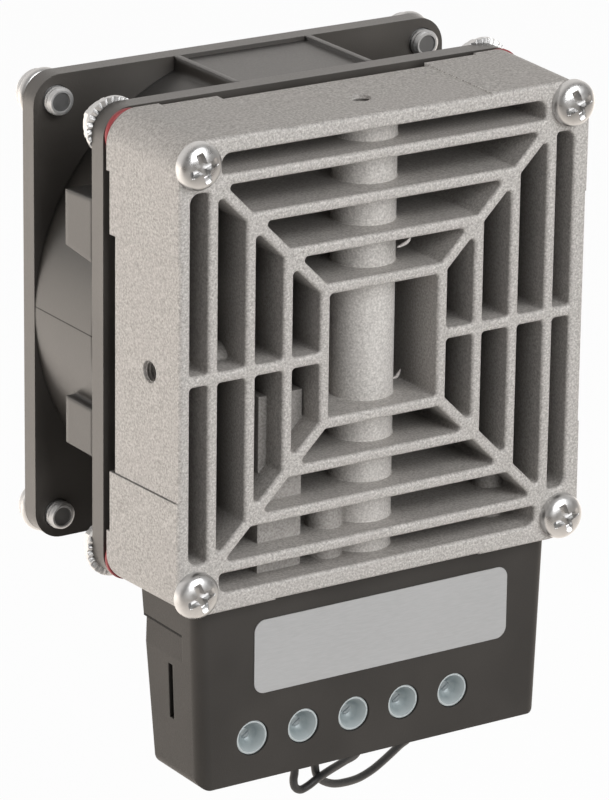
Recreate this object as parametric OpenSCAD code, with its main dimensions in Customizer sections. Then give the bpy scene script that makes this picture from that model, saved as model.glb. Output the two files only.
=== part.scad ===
// Enclosure heater: a ribbed die-cast heat sink with a cartridge element, an axial fan
// bolted behind it and a five-way terminal box hung below.
// Millimetres. X is to the right, Z is up and the grille faces -Y.
// The origin is the mouth of the tapped hole in the top of the casting.

/* [Casting] */
// Width and height of the casting and of the fan behind it
body_size = 80; // [76:0.5:92]
// Depth of the casting at its four corner pads
cast_depth = 20.4; // [18:0.2:28]
// How much the left wall leans in from the rear edge to the front
lean_left = 1.1; // [0.1:0.05:1.6]
// How much the right wall leans in
lean_right = 0.3; // [0.1:0.05:1.6]
// How much the top wall leans in
lean_top = 0.5; // [0.1:0.05:1.6]
// How much the bottom wall leans in
lean_bottom = 0; // [0:0.05:1.6]
// Radius of the four long edges
cast_corner_r = 5.5; // [4:0.1:8]
// Frame round the ribs, measured in from the rear edge
frame_in = 3.3; // [2.6:0.1:4]
// Depth of the shallow panel in the middle of each outer wall
panel_depth = 0.2; // [0.1:0.05:0.4]
// Half length of that panel and of the deep notch behind it
panel_half = 20; // [14:0.5:24]
// Depth of the deep notch in the rear edge
notch_deep = 2.2; // [1.4:0.1:3.4]
// Length of each corner pad along the rear edge
corner_pad = 9.6; // [7:0.2:12]
// Depth of the shallow notch between pad and deep notch
notch_shallow = 0.9; // [0.4:0.1:1.3]
// Distance from a corner screw to the ends of the slots beside it
corner_boss = 4.85; // [4.4:0.05:6]

/* [Ribs] */
// Thickness of every rib
rib_t = 1.9; // [1.2:0.1:2.6]
// Number of square rib rings round the window
rib_rings = 4; // [2:1:5]
// Half width of the square window
window_half = 10.4; // [8:0.1:13]
// Slot between the outermost ring and the frame
outer_slot = 3.3; // [2.4:0.1:4.2]
// Depth of the ribs behind the front face
rib_depth = 16; // [12:0.5:17]
// Radius in the corners of every slot
slot_r = 0.6; // [0.3:0.05:0.9]
// Radius at the outer ends of the outermost slots
slot_end_r = 1.6; // [0.8:0.1:1.8]

/* [Heating element] */
// Radius of the cast tube that holds the element
tube_r = 5.3; // [4.6:0.1:6]
// Sideways place of the tube
tube_x = 1.5; // [-1:0.1:3]
// Depth of the tube axis behind the front face
tube_y = 9; // [8:0.1:10]
// Radius of the cartridge element
cartridge_r = 3; // [2.2:0.1:3.4]
// Length of the cartridge inside the casting
cartridge_len = 52; // [30:1:58]
// Width of the cast pocket for the thermal limiter
pocket_w = 8.3; // [7:0.1:9.5]
// Sideways place of the pocket
pocket_x = -16.7; // [-17.5:0.1:-15.5]
// Front face of the pocket behind the grille
pocket_front = 4.9; // [4:0.1:7]
// Height of the pocket above the bottom inside wall
pocket_h = 30.2; // [20:0.1:34]
// Wall of the pocket
pocket_wall = 1.5; // [1:0.1:2]
// Length of the thermal limiter in the pocket
limiter_len = 16; // [10:0.5:18]

/* [Tapped holes] */
// Core radius of the M4 fixing holes
tap_r = 1.65; // [1.25:0.05:2.1]
// Length of thread in the fixing holes
tap_len = 10; // [6:0.5:12]
// Depth of the fixing holes behind the front face
tap_y = 8.4; // [7.5:0.1:9.5]
// Radius of the boss behind the side hole
tap_boss_r = 3.2; // [2.6:0.1:3.6]
// Flat seat cut round the mouth of a fixing hole
seat_r = 1.95; // [1.8:0.05:3]
// Core radius of the two holes for the terminal box screws
post_tap_r = 1.25; // [1:0.05:1.5]
// Length of thread in those two holes
post_tap_len = 7; // [5:0.5:9]

/* [Fan] */
// Depth of the fan
fan_depth = 25.6; // [22:0.2:34]
// Distance from a corner hole to the nearest edges
hole_inset = 4.25; // [4:0.05:5]
// Thickness of each flange
flange_t = 3.5; // [2.6:0.1:4.4]
// Radius of the flange corners
fan_corner_r = 5; // [3:0.1:7]
// Narrowest rim between the air duct and the edge of the flange
duct_rim = 2.6; // [2:0.1:4]
// Gap between blade tips and duct
tip_gap = 1.0; // [0.5:0.1:2]
// Outside radius of the impeller hub
hub_r = 17; // [15.5:0.1:20]
// Number of blades
blade_count = 7; // [5:1:9]
// Slope of the blades from the plane of the fan
blade_slope = 38; // [30:1:46]
// Thickness of a blade
blade_t = 1.4; // [1:0.1:2]
// Radius of the motor shaft
shaft_r = 1.5; // [1.2:0.1:1.8]
// Running clearance round the shaft
shaft_gap = 0.04; // [0.02:0.01:0.08]

/* [Fasteners] */
// Thickness of the soft washers between casting and fan
washer_t = 1; // [0.6:0.1:2]
// Radius of the soft washers
washer_r = 4.1; // [3.6:0.1:4.8]
// Shank radius of the clamp screws
clamp_r = 1.95; // [1.5:0.05:2.1]
// Head radius of the clamp screws and guard screws
head_r = 3.9; // [3.4:0.1:4.4]
// Head height
head_h = 2.6; // [2:0.1:3.2]
// Flange radius of the clamp nuts
nut_r = 5; // [4.2:0.1:5.2]
// Height of the clamp nuts
nut_h = 4; // [3:0.1:5]
// Shank radius of the guard screws
guard_screw_r = 2.4; // [2:0.05:2.6]
// How far the guard screws stand out inside the rear flange
guard_screw_out = 1.9; // [1:0.1:6]

/* [Finger guard] */
// Wire diameter of the guard
guard_wire = 1.8; // [1.2:0.1:2.2]
// Number of wire rings
guard_rings = 4; // [3:1:6]
// Distance from the outermost ring in to the edge of the fan
guard_edge = 3.5; // [2:0.5:6]
// Radius of the innermost ring
guard_inner_r = 9.5; // [7:0.5:12]

/* [Terminal box] */
// Width of the box at its top
box_w = 69.4; // [64:0.2:76]
// Sideways place of the box
box_x = 0.8; // [-2:0.1:2]
// Height of the box
box_h = 31.8; // [28:0.2:40]
// How much each side leans in toward the bottom
box_lean = 1.2; // [0:0.1:1.6]
// How far the front of the box sits behind the grille
box_front = 2.6; // [1:0.1:4]
// Depth of the box at its top
box_depth = 17; // [16:0.1:18]
// How much the rear edge leans forward toward the bottom
box_rear_lean = 2.8; // [0:0.1:3.5]
// Wall of the box
box_wall = 1.8; // [1.2:0.1:2.2]
// Radius of the upright front edges
box_edge_r = 2.2; // [1:0.1:3]
// Radius of the bottom corners
box_corner_r = 2; // [1:0.1:3]
// Number of terminals
term_count = 5; // [3:1:6]
// Distance between terminals
term_pitch = 9.9; // [8.5:0.1:10.5]
// Radius of a terminal hole
term_r = 2.95; // [2.4:0.05:3.3]
// Height of the terminal row above the bottom of the box
term_up = 7.6; // [6:0.1:9]
// Sideways place of the terminal row
term_x = -3; // [-5:0.1:0]

/* [Blank plate] */
// Width of the blank plate on the box
plate_w = 50; // [40:0.5:56]
// Height of the blank plate
plate_h = 12.8; // [8:0.1:14]
// Thickness of the blank plate
plate_t = 0.15; // [0.1:0.05:0.4]
// Sideways place of the blank plate
plate_x = 2.3; // [-3:0.1:4]
// Top of the plate below the top of the box
plate_down = 3.8; // [2:0.1:6]

/* [Fan leads] */
// Diameter of each fan lead
lead_d = 1.4; // [1:0.1:1.8]

/* [Hidden] */
$fn = 64;

// overshoot of every cutting tool
over = 1;
// clearance between pieces that are bolted together
fit = 0.1;
// extra radius that lets a rounded corner cross its straight sides cleanly
corner_extra = 0.002;

// casting
cast_half = body_size / 2;
inner_half = cast_half - frame_in;
rib_pitch = (inner_half - outer_slot - window_half - rib_t) / (rib_rings - 1);
hole_half = cast_half - hole_inset;
clamp_bore_r = clamp_r + 0.2;
boss_r = corner_boss - 0.35;
notch_y = cast_depth - notch_deep;
pad_start = cast_half - corner_pad;
seat_sink = 0.02;
seat_z = wall(lean_top, tap_y - seat_r) - panel_depth - seat_sink;
seat_x = wall(lean_left, tap_y - seat_r) - panel_depth - seat_sink;
side_boss_end = inner_half - outer_slot - rib_t - rib_pitch * 0.74;
post_left_x = -6.4;
post_left_y = 7.5;
post_left_r = post_tap_r * 2.5;
post_left_top = inner_half - 5;
post_right_x = 27.5;
post_right_y = 9.3;
post_right_r = post_tap_r * 2;
post_right_top = inner_half - 11;

// fan stations along the axis
fan_front = cast_depth + washer_t;
fan_rear = fan_front + fan_depth;
fan_half = body_size / 2;
duct_r = fan_half - duct_rim;
front_flange_rear = fan_front + flange_t;
rear_flange_front = fan_rear - flange_t;
duct_out_r = fan_half - 0.05;
side_pad_len = 8.4;
flat_half = fan_half * 0.335;
flat_rib = 1.2;
flat_drop = 0.7;
motor_plate_t = 2;
motor_plate_y = fan_front + motor_plate_t;
hub_front = motor_plate_y + 0.9;
hub_rear = fan_rear - 2.4;
hub_cap_t = 2;
hub_in_r = hub_r - 1.4;
ring_t = 1.6;
bearing_r = shaft_r + shaft_gap;
bearing_out_r = shaft_r + 1.5;
tube_out_r = bearing_out_r + 1.2;
boss_front = hub_rear - hub_cap_t - 3.5;
bearing_end = boss_front - 1;
stator_front = hub_front + 1;
stator_rear = bearing_end - 2.5;
pole_r = hub_in_r - ring_t - 0.6;
pole_w = hub_r * 0.19;
pole_face = hub_r * 0.9;
pole_t = hub_r * 0.095;
coil_t = hub_r * 0.085;
yoke_r = tube_out_r + hub_r * 0.14;
guard_outer_r = fan_half - guard_edge;
blade_tip_r = duct_r - tip_gap;
blade_mid_y = (hub_front + hub_rear) / 2;

// terminal box
box_top = -cast_half - 0.2;
box_bottom = box_top - box_h;
box_half = box_w / 2;
box_rear = box_front + box_depth;
box_low_half = box_half - box_lean;
lean_angle = atan(box_lean / box_h);
term_z = box_bottom + term_up;
cup_len = term_r * 2;
cup_depth = term_r * 0.88;
cup_front = box_front + 0.3;
cup_rear = cup_front + cup_len;
clamp_box_d = term_r * 1.36;
base_front = cup_rear + clamp_box_d;
base_half = box_low_half - box_wall - 0.4;
base_top_t = 2;

// the two fan leads: from the fan, down behind the box, under it and up through its floor to two clamps
lead_r = lead_d / 2;
lead_hole_r = lead_r + 0.3;
lead_exit_y = fan_front + 9;
lead_exit_z = -fan_half;
clamp_box_h = 9;
clamp_box_low = 3.6;
lead_end_z = term_z - clamp_box_low;
lead_left_in = [-10.2, 9.7];
lead_right_in = [-4.6, 12.1];
lead_top = box_bottom + 19;
lead_left_path = [[4, lead_exit_y, lead_exit_z], [4, lead_exit_y, lead_exit_z - 5], [5.5, 30, lead_top],
    [8.5, 28, lead_top - 10], [11.5, 25, box_bottom], [11.8, 21.5, box_bottom - 5.5],
    [8, 18, box_bottom - 7.4], [3.5, 15, box_bottom - 6.9], [-1.2, 12.3, box_bottom - 6.5],
    [-4.8, 10.6, box_bottom - 6.6], [-6.9, 10.2, box_bottom - 7.3], [-8.6, 9.9, box_bottom - 7.5],
    [-9.8, 9.7, box_bottom - 6.7], [-10.2, 9.6, box_bottom - 5.3], [-10, 9.6, box_bottom - 3.6],
    [lead_left_in[0], lead_left_in[1], box_bottom - 1], [lead_left_in[0], lead_left_in[1], lead_end_z]];
lead_right_path = [[9, lead_exit_y, lead_exit_z], [9, lead_exit_y, lead_exit_z - 5],
    [11.5, 30.5, lead_top], [17, 29.8, lead_top - 10], [22.5, 28.5, box_bottom],
    [25, 26.5, box_bottom - 6.5], [22.7, 24, box_bottom - 9.8], [19.6, 22.2, box_bottom - 10.2],
    [13.7, 18.9, box_bottom - 10.8], [10.2, 17.2, box_bottom - 11.1], [6.8, 15.8, box_bottom - 11.1],
    [3.2, 14.4, box_bottom - 10.5], [0.3, 13.4, box_bottom - 9.7], [-2.2, 12.7, box_bottom - 8.4],
    [-3.7, 12.3, box_bottom - 6.9], [-4.3, 12.1, box_bottom - 5.2],
    [lead_right_in[0], lead_right_in[1], box_bottom - 1],
    [lead_right_in[0], lead_right_in[1], lead_end_z]];

// colours
alloy = [0.77, 0.75, 0.72];
zinc = [0.80, 0.81, 0.82];
black = [0.13, 0.12, 0.12];
steel = [0.62, 0.63, 0.65];
copper = [0.72, 0.42, 0.22];
red = [0.70, 0.16, 0.18];
silver = [0.74, 0.74, 0.73];

function unit(v) = v / norm(v);
// half width of the leaning terminal box at one height
function box_side(z) = box_half - box_lean * (box_top - z) / box_h;
// distance of a leaning wall from the fan axis at one depth
function wall(lean, y) = cast_half - lean * (1 - y / cast_depth);
// distance from a leaning wall in to the axis of the long edge beside it
function edge_in(lean) = cast_corner_r / cos(atan(lean / cast_depth));
// outline across the depth between two leaning walls, each moved in by its own amount
function between(lean_a, lean_b, in_a, in_b) = [[in_a - wall(lean_a, 0), 0], [wall(lean_b, 0) - in_b, 0],
    [cast_half - in_b, cast_depth], [in_a - cast_half, cast_depth]];

// moves the whole heater so that the mouth of the top hole is the origin
module placed() {
    translate([0, -tap_y, -seat_z]) children();
}

// extrudes a flat X-Z shape from one depth to another
module along_y(y0, y1) {
    translate([0, y1, 0]) rotate([90, 0, 0]) linear_extrude(height = y1 - y0) children();
}

// a round bar along Y
module bar_y(r, y0, y1) {
    translate([0, y0, 0]) rotate([-90, 0, 0]) cylinder(h = y1 - y0, r = r);
}

// one copy at each of the four corner holes
module at_corners() {
    for (sx = [-1, 1]) {
        for (sz = [-1, 1]) {
            translate([sx * hole_half, 0, sz * hole_half]) children();
        }
    }
}

// one copy at each terminal
module at_terminals() {
    for (i = [0 : term_count - 1]) {
        translate([term_x + (i - (term_count - 1) / 2) * term_pitch, 0, term_z]) children();
    }
}

// four discs at the corner holes, as a flat shape
module corner_discs(r) {
    for (sx = [-1, 1]) {
        for (sy = [-1, 1]) {
            translate([sx * hole_half, sy * hole_half]) circle(r = r);
        }
    }
}

// flat shape with straight sides and each corner rounded to its own radius
module round_corners(p, r) {
    n = len(p);
    before = [for (i = [0 : n - 1]) unit(p[(i + n - 1) % n] - p[i])];
    after = [for (i = [0 : n - 1]) unit(p[(i + 1) % n] - p[i])];
    half = [for (i = [0 : n - 1]) acos(before[i] * after[i]) / 2];
    polygon([for (i = [0 : n - 1]) each [p[i] + before[i] * r[i] / tan(half[i]),
        p[i] + after[i] * r[i] / tan(half[i])]]);
    for (i = [0 : n - 1]) {
        translate(p[i] + unit(before[i] + after[i]) * r[i] / sin(half[i])) circle(r = r[i] + corner_extra);
    }
}

// extrudes a flat outline drawn as height against depth across the whole width
module across(width) {
    rotate([0, -90, 0]) linear_extrude(height = width, center = true) children();
}

// block with four leaning walls; a tilted round bar makes each long edge
module cast_block() {
    in_l = edge_in(lean_left);
    in_r = edge_in(lean_right);
    in_t = edge_in(lean_top);
    in_b = edge_in(lean_bottom);
    big = 2 * body_size;
    intersection() {
        linear_extrude(height = big, center = true) polygon(between(lean_left, lean_right, 0, 0));
        across(big) polygon(between(lean_bottom, lean_top, in_b, in_t));
    }
    intersection() {
        linear_extrude(height = big, center = true) polygon(between(lean_left, lean_right, in_l, in_r));
        across(big) polygon(between(lean_bottom, lean_top, 0, 0));
    }
    intersection() {
        translate([-big / 2, 0, -big / 2]) cube([big, cast_depth, big]);
        for (x = [[-1, lean_left, in_l], [1, lean_right, in_r]]) {
            for (z = [[-1, lean_bottom, in_b], [1, lean_top, in_t]]) {
                translate([x[0] * (wall(x[1], 0) - x[2]), 0, z[0] * (wall(z[1], 0) - z[2])])
                    rotate([z[0] * atan(z[1] / norm([cast_depth, x[1]])), 0,
                        -x[0] * atan(x[1] / cast_depth)])
                    bar_y(cast_corner_r + corner_extra, -over, cast_depth + over);
            }
        }
    }
}

// wedge that sinks the shallow panel into one wall
module panel_cut(lean) {
    x0 = wall(lean, -over) - panel_depth;
    x1 = wall(lean, cast_depth + over) - panel_depth;
    linear_extrude(height = 2 * panel_half, center = true)
        polygon([[x0, -over], [cast_half + over, -over], [cast_half + over, cast_depth + over],
            [x1, cast_depth + over]]);
}

// the window and all slots between the ribs, as a flat shape
module slots() {
    t = rib_t / 2;
    side = rib_t / sqrt(2);
    even = [slot_r, slot_r, slot_r, slot_r];
    w = window_half;
    round_corners([[-w, -w], [w, -w], [w, w], [-w, w]], even);
    for (turn = [0, 180]) {
        rotate(turn) {
            // slots between two rings
            for (i = [0 : rib_rings - 2]) {
                a = window_half + i * rib_pitch + rib_t;
                b = window_half + (i + 1) * rib_pitch;
                round_corners([[side - a, a], [a - side, a], [b - side, b], [side - b, b]], even);
                for (flip = [0, 1]) {
                    mirror([0, flip, 0])
                        round_corners([[a, t], [b, t], [b, b - side], [a, a - side]], even);
                }
            }
            // slots between the outermost ring and the frame
            a = inner_half - outer_slot;
            b = inner_half;
            e = hole_half - corner_boss;
            round_corners([[-e, a], [e, a], [e, b], [-e, b]], [slot_r, slot_r, slot_end_r, slot_end_r]);
            for (flip = [0, 1]) {
                mirror([0, flip, 0]) round_corners([[a, t], [b, t], [b, e], [a, e]],
                    [slot_r, slot_r, slot_end_r, slot_r]);
            }
        }
    }
}

module heater_casting() {
    pocket_in = pocket_w - 2 * pocket_wall;
    color(alloy) difference() {
        union() {
            difference() {
                cast_block();
                along_y(-over, rib_depth + over / 2) slots();
                // open space behind the ribs
                along_y(rib_depth, cast_depth + over) difference() {
                    square(2 * inner_half, center = true);
                    corner_discs(boss_r);
                }
            }
            translate([tube_x, tube_y, -inner_half - 0.5]) cylinder(h = 2 * inner_half + 1, r = tube_r);
            translate([pocket_x - pocket_w / 2, pocket_front, -inner_half - 0.5])
                cube([pocket_w, rib_depth - pocket_front, pocket_h + 0.5]);
            translate([post_left_x, post_left_y, -inner_half - 0.5])
                cylinder(h = inner_half - post_left_top + 6, r = post_left_r);
            translate([post_right_x, post_right_y, -inner_half - 0.5])
                cylinder(h = inner_half - post_right_top + 0.5, r = post_right_r);
            translate([-inner_half - 0.5, tap_y, 0]) rotate([0, 90, 0])
                cylinder(h = inner_half - side_boss_end + 0.5, r = tap_boss_r);
        }
        // shallow panels on the right, bottom, left and top walls
        panel_cut(lean_right);
        rotate([0, 90, 0]) panel_cut(lean_bottom);
        rotate([0, 180, 0]) panel_cut(lean_left);
        rotate([0, 270, 0]) panel_cut(lean_top);
        // rear notches
        translate([-panel_half, notch_y, -body_size]) cube([2 * panel_half, cast_depth, 2 * body_size]);
        translate([-body_size, notch_y, -panel_half]) cube([2 * body_size, cast_depth, 2 * panel_half]);
        translate([-pad_start, cast_depth - notch_shallow, -body_size])
            cube([2 * pad_start, cast_depth, 2 * body_size]);
        translate([-body_size, cast_depth - notch_shallow, -pad_start])
            cube([2 * body_size, cast_depth, 2 * pad_start]);
        // screw bores, cartridge bore and limiter pocket
        at_corners() bar_y(clamp_bore_r, -over, cast_depth + over);
        translate([tube_x, tube_y, -cast_half - over])
            cylinder(h = cast_half - inner_half + cartridge_len + over, r = cartridge_r + fit);
        translate([pocket_x - pocket_in / 2, pocket_front + pocket_wall, -cast_half - over])
            cube([pocket_in, rib_depth - pocket_front - 2 * pocket_wall,
                cast_half - inner_half + pocket_h - pocket_wall + over]);
        // tapped holes with flat seats
        translate([0, tap_y, seat_z - tap_len]) cylinder(h = tap_len + over, r = tap_r);
        translate([0, tap_y, seat_z]) cylinder(h = over, r = seat_r);
        translate([-seat_x - over, tap_y, 0]) rotate([0, 90, 0]) cylinder(h = tap_len + over, r = tap_r);
        translate([-seat_x - over, tap_y, 0]) rotate([0, 90, 0]) cylinder(h = over, r = seat_r);
        translate([post_left_x, post_left_y, -cast_half - over])
            cylinder(h = post_tap_len + over, r = post_tap_r);
        translate([post_right_x, post_right_y, -cast_half - over])
            cylinder(h = post_tap_len + over, r = post_tap_r);
    }
}

module heating_cartridge() {
    color(steel) translate([tube_x, tube_y, -inner_half - 1])
        cylinder(h = cartridge_len, r = cartridge_r);
}

module thermal_limiter() {
    w = pocket_w - 2 * pocket_wall - 2 * fit;
    d = rib_depth - pocket_front - 2 * pocket_wall - 2 * fit;
    color(black) translate([pocket_x - w / 2, pocket_front + pocket_wall + fit, -inner_half])
        cube([w, d, limiter_len]);
}

module corner_washers() {
    color(red) at_corners() difference() {
        bar_y(washer_r, cast_depth, fan_front);
        bar_y(clamp_bore_r, cast_depth - over, fan_front + over);
    }
}

// domed head with a cross recess, seat at y = 0 and dome toward -Y
module pan_head() {
    dome_r = head_r * 1.55;
    difference() {
        intersection() {
            bar_y(head_r, -head_h, 0);
            translate([0, dome_r - head_h, 0]) sphere(r = dome_r);
        }
        for (a = [45, 135]) {
            rotate([0, a, 0]) translate([-head_r * 0.55, -head_h - over, -0.42])
                cube([head_r * 1.1, over + 1.3, 0.84]);
        }
    }
}

module clamp_screws() {
    color(zinc) at_corners() {
        pan_head();
        bar_y(clamp_r, 0, front_flange_rear + nut_h + 0.6);
    }
}

// flange nut: round flange, coned shoulder and a hexagon with a coned end
module clamp_nuts() {
    hex_r = nut_r * 0.81;
    color(zinc) at_corners() translate([0, front_flange_rear, 0]) rotate([-90, 0, 0]) difference() {
        union() {
            cylinder(h = nut_h * 0.25, r = nut_r);
            translate([0, 0, nut_h * 0.25]) cylinder(h = nut_h * 0.3, r1 = nut_r, r2 = hex_r * 0.9);
            intersection() {
                cylinder(h = nut_h, r = hex_r, $fn = 6);
                cylinder(h = nut_h, r1 = hex_r + nut_h * 1.2, r2 = hex_r * 0.88);
            }
        }
        translate([0, 0, -over]) cylinder(h = nut_h + 2 * over, r = clamp_r);
    }
}

// flat fan flange with rounded corners, the air opening and four holes
module flange_shape(hole_r) {
    c = fan_half - fan_corner_r;
    difference() {
        union() {
            square([body_size, 2 * c], center = true);
            square([2 * c, body_size], center = true);
            for (sx = [-1, 1]) {
                for (sy = [-1, 1]) {
                    translate([sx * c, sy * c]) circle(r = fan_corner_r);
                }
            }
        }
        circle(r = duct_r);
        corner_discs(hole_r);
    }
}

module fan_front_flange() {
    color(black) along_y(fan_front, front_flange_rear) flange_shape(clamp_bore_r);
}

module fan_rear_flange() {
    color(black) along_y(rear_flange_front, fan_rear) flange_shape(guard_screw_r + fit);
}

// round duct between the flanges, level with their edges, with flats on its four sides
module fan_duct() {
    y0 = front_flange_rear;
    y1 = front_flange_rear + side_pad_len;
    gap = rear_flange_front - front_flange_rear;
    depth = fan_half * 0.25;
    color(black) difference() {
        union() {
            bar_y(duct_out_r, y0, rear_flange_front);
            for (s = [-1, 1]) {
                // two side pads, the upper one narrowing toward the rear
                translate([s * (fan_half - depth / 2), 0, 0]) across(depth) {
                    polygon([[fan_half * 0.3425, y0], [fan_half * 0.61, y0],
                        [fan_half * 0.6, y1], [fan_half * 0.366, y1]]);
                    polygon([[-fan_half * 0.48, y0], [-fan_half * 0.28, y0], [-fan_half * 0.28, y1],
                        [-fan_half * 0.48, y1]]);
                }
                // flat across the top and the bottom
                translate([-flat_half, y0, s * (fan_half - depth / 2) - depth / 2])
                    cube([2 * flat_half, gap, depth]);
            }
        }
        bar_y(duct_r, y0 - over, rear_flange_front + over);
        // the top flat is sunk between two end ribs
        translate([flat_rib - flat_half, y0 - over, fan_half - flat_drop])
            cube([2 * (flat_half - flat_rib), gap + 2 * over, flat_drop + over]);
    }
}

// motor plate, its four arms and the bearing tube
module fan_motor_mount() {
    color(black) difference() {
        union() {
            bar_y(hub_r + 0.4, fan_front, motor_plate_y);
            intersection() {
                for (a = [20, 110, 200, 290]) {
                    rotate([0, a, 0]) translate([hub_r - 1, fan_front, -1.5])
                        cube([duct_r - hub_r + 2, motor_plate_t + 0.6, 3]);
                }
                bar_y(duct_r, fan_front, front_flange_rear);
            }
            bar_y(tube_out_r, fan_front, bearing_end);
        }
        bar_y(bearing_out_r, fan_front - over, bearing_end + over);
    }
}

module fan_stator() {
    y0 = stator_front + coil_t;
    stack = stator_rear - stator_front - 2 * coil_t;
    color(steel) difference() {
        union() {
            bar_y(yoke_r, y0, y0 + stack);
            for (a = [0, 90, 180, 270]) {
                rotate([0, a, 0]) translate([0, y0, -pole_w / 2])
                    cube([pole_r - pole_t / 2, stack, pole_w]);
            }
            for (a = [0, 90, 180, 270]) {
                rotate([0, a, 0]) intersection() {
                    difference() {
                        bar_y(pole_r, y0, y0 + stack);
                        bar_y(pole_r - pole_t, y0 - over, y0 + stack + over);
                    }
                    translate([0, y0 - over, -pole_face / 2])
                        cube([pole_r + over, stack + 2 * over, pole_face]);
                }
            }
        }
        bar_y(tube_out_r, y0 - over, y0 + stack + over);
    }
}

module fan_windings() {
    x0 = yoke_r + coil_t * 0.3;
    w = pole_r - pole_t * 1.4 - x0;
    high = pole_w + 2 * coil_t;
    color(copper) for (a = [0, 90, 180, 270]) {
        rotate([0, a, 0]) translate([x0, 0, 0]) difference() {
            translate([0, stator_front + fit, -high / 2])
                cube([w, stator_rear - stator_front - 2 * fit, high]);
            translate([-over, stator_front + coil_t - fit, -pole_w / 2 - fit])
                cube([w + 2 * over, stator_rear - stator_front - 2 * coil_t + 2 * fit, pole_w + 2 * fit]);
        }
    }
}

module fan_bearings() {
    len = 4;
    color(steel) for (y = [motor_plate_y + 0.6, bearing_end - len]) {
        difference() {
            bar_y(bearing_out_r, y, y + len);
            bar_y(bearing_r, y - over, y + len + over);
        }
    }
}

module fan_shaft() {
    color(steel) bar_y(shaft_r, fan_front + 0.6, hub_rear - 0.6);
}

module shaft_clip() {
    color(steel) difference() {
        bar_y(shaft_r + 1, fan_front + 1.2, fan_front + 1.8);
        bar_y(shaft_r, fan_front, fan_front + 3);
    }
}

module rotor_ring() {
    color(steel) difference() {
        bar_y(hub_in_r, hub_front + 0.6, hub_rear - hub_cap_t - 1);
        bar_y(hub_in_r - ring_t, hub_front, hub_rear);
    }
}

// one cambered blade, drawn across the fan axis and trimmed at the tip
module blade() {
    camber_r = 26;
    chord = (hub_rear - hub_front - 2.4) / sin(blade_slope);
    intersection() {
        translate([hub_r - 1, blade_mid_y, 0]) rotate([90, 0, 90])
            linear_extrude(height = blade_tip_r - hub_r + 2) rotate(90 - blade_slope)
            intersection() {
                translate([0, -camber_r + 1.4]) difference() {
                    circle(r = camber_r + blade_t / 2);
                    circle(r = camber_r - blade_t / 2);
                }
                translate([-chord / 2, -4]) square([chord, 9]);
            }
        bar_y(blade_tip_r, hub_front, hub_rear);
    }
}

module fan_impeller() {
    color(black) difference() {
        union() {
            difference() {
                union() {
                    bar_y(hub_r, hub_front, hub_rear);
                    for (i = [0 : blade_count - 1]) {
                        rotate([0, i * 360 / blade_count, 0]) blade();
                    }
                }
                bar_y(hub_in_r, hub_front - over, hub_rear - hub_cap_t);
            }
            bar_y(shaft_r + 2.2, boss_front, hub_rear - 0.2);
        }
        bar_y(shaft_r, boss_front - over, hub_rear - 0.6);
    }
}

module finger_guard() {
    wire_r = guard_wire / 2;
    ring_y = fan_rear + guard_wire + wire_r * 0.5;
    leg_y = fan_rear + wire_r;
    step = (guard_outer_r - guard_inner_r) / (guard_rings - 1);
    eye_r = guard_screw_r + wire_r + 0.2;
    color(zinc) {
        for (i = [0 : guard_rings - 1]) {
            translate([0, ring_y, 0]) rotate([90, 0, 0]) rotate_extrude()
                translate([guard_inner_r + i * step, 0]) circle(r = wire_r, $fn = 24);
        }
        for (a = [45, 135, 225, 315]) {
            rotate([0, a, 0]) translate([guard_inner_r - 1, leg_y, 0]) rotate([0, 90, 0])
                cylinder(h = hole_half * sqrt(2) - eye_r - guard_inner_r + 1, r = wire_r, $fn = 24);
        }
        at_corners() translate([0, leg_y, 0]) rotate([90, 0, 0]) rotate_extrude()
            translate([eye_r, 0]) circle(r = wire_r, $fn = 24);
    }
}

module guard_screws() {
    seat = fan_rear + guard_wire;
    color(zinc) at_corners() {
        translate([0, seat, 0]) mirror([0, 1, 0]) pan_head();
        bar_y(guard_screw_r, rear_flange_front - guard_screw_out + 0.8, seat);
        translate([0, rear_flange_front - guard_screw_out, 0]) rotate([-90, 0, 0])
            cylinder(h = 0.8, r1 = guard_screw_r - 0.9, r2 = guard_screw_r);
    }
}

// tapered front outline of the terminal box with two round bottom corners
module box_outline(inset, down) {
    low = box_low_half - inset;
    top_half = box_half - inset;
    z = box_bottom + down;
    r = box_corner_r;
    // distance from the sharp corner to where the round one starts
    d = r / tan(45 + lean_angle / 2);
    difference() {
        polygon([[-low, z], [low, z], [top_half, box_top], [-top_half, box_top]]);
        for (s = [-1, 1]) {
            difference() {
                polygon([[s * (low - d), z - over], [s * (low + over), z - over],
                    [s * (low + over), z + d],
                    [s * (low + d * sin(lean_angle)), z + d * cos(lean_angle)], [s * (low - d), z + r]]);
                translate([s * (low - d), z + r]) circle(r = r);
            }
        }
    }
}

// rounded upright front edges of the box, leaning with its sides
module box_edges() {
    for (s = [-1, 1]) {
        translate([s * (box_half - box_edge_r / cos(lean_angle)), box_front + box_edge_r, box_top])
            rotate([0, s * lean_angle, 0]) translate([0, 0, -box_h - 2])
            cylinder(h = box_h + 4, r = box_edge_r);
    }
}

module box_block() {
    big = 200;
    edge_in = box_edge_r / cos(lean_angle);
    difference() {
        along_y(box_front, box_rear) box_outline(0, 0);
        // leaning rear edge
        rotate([90, 0, 90]) translate([0, 0, -big / 2]) linear_extrude(height = big)
            polygon([[box_rear, box_top], [box_rear - box_rear_lean, box_bottom],
                [box_rear - box_rear_lean, box_bottom - over], [box_rear + over, box_bottom - over],
                [box_rear + over, box_top]]);
        // square front edges come off, leaving the round ones
        difference() {
            along_y(box_front - over, box_front + box_edge_r) difference() {
                translate([-big / 2, box_bottom - over]) square([big, box_h + 2 * over]);
                polygon([[-box_half + edge_in, box_top + 2 * over],
                    [box_half - edge_in, box_top + 2 * over],
                    [box_low_half - edge_in, box_bottom - 2 * over],
                    [-box_low_half + edge_in, box_bottom - 2 * over]]);
            }
            box_edges();
        }
    }
}

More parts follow.
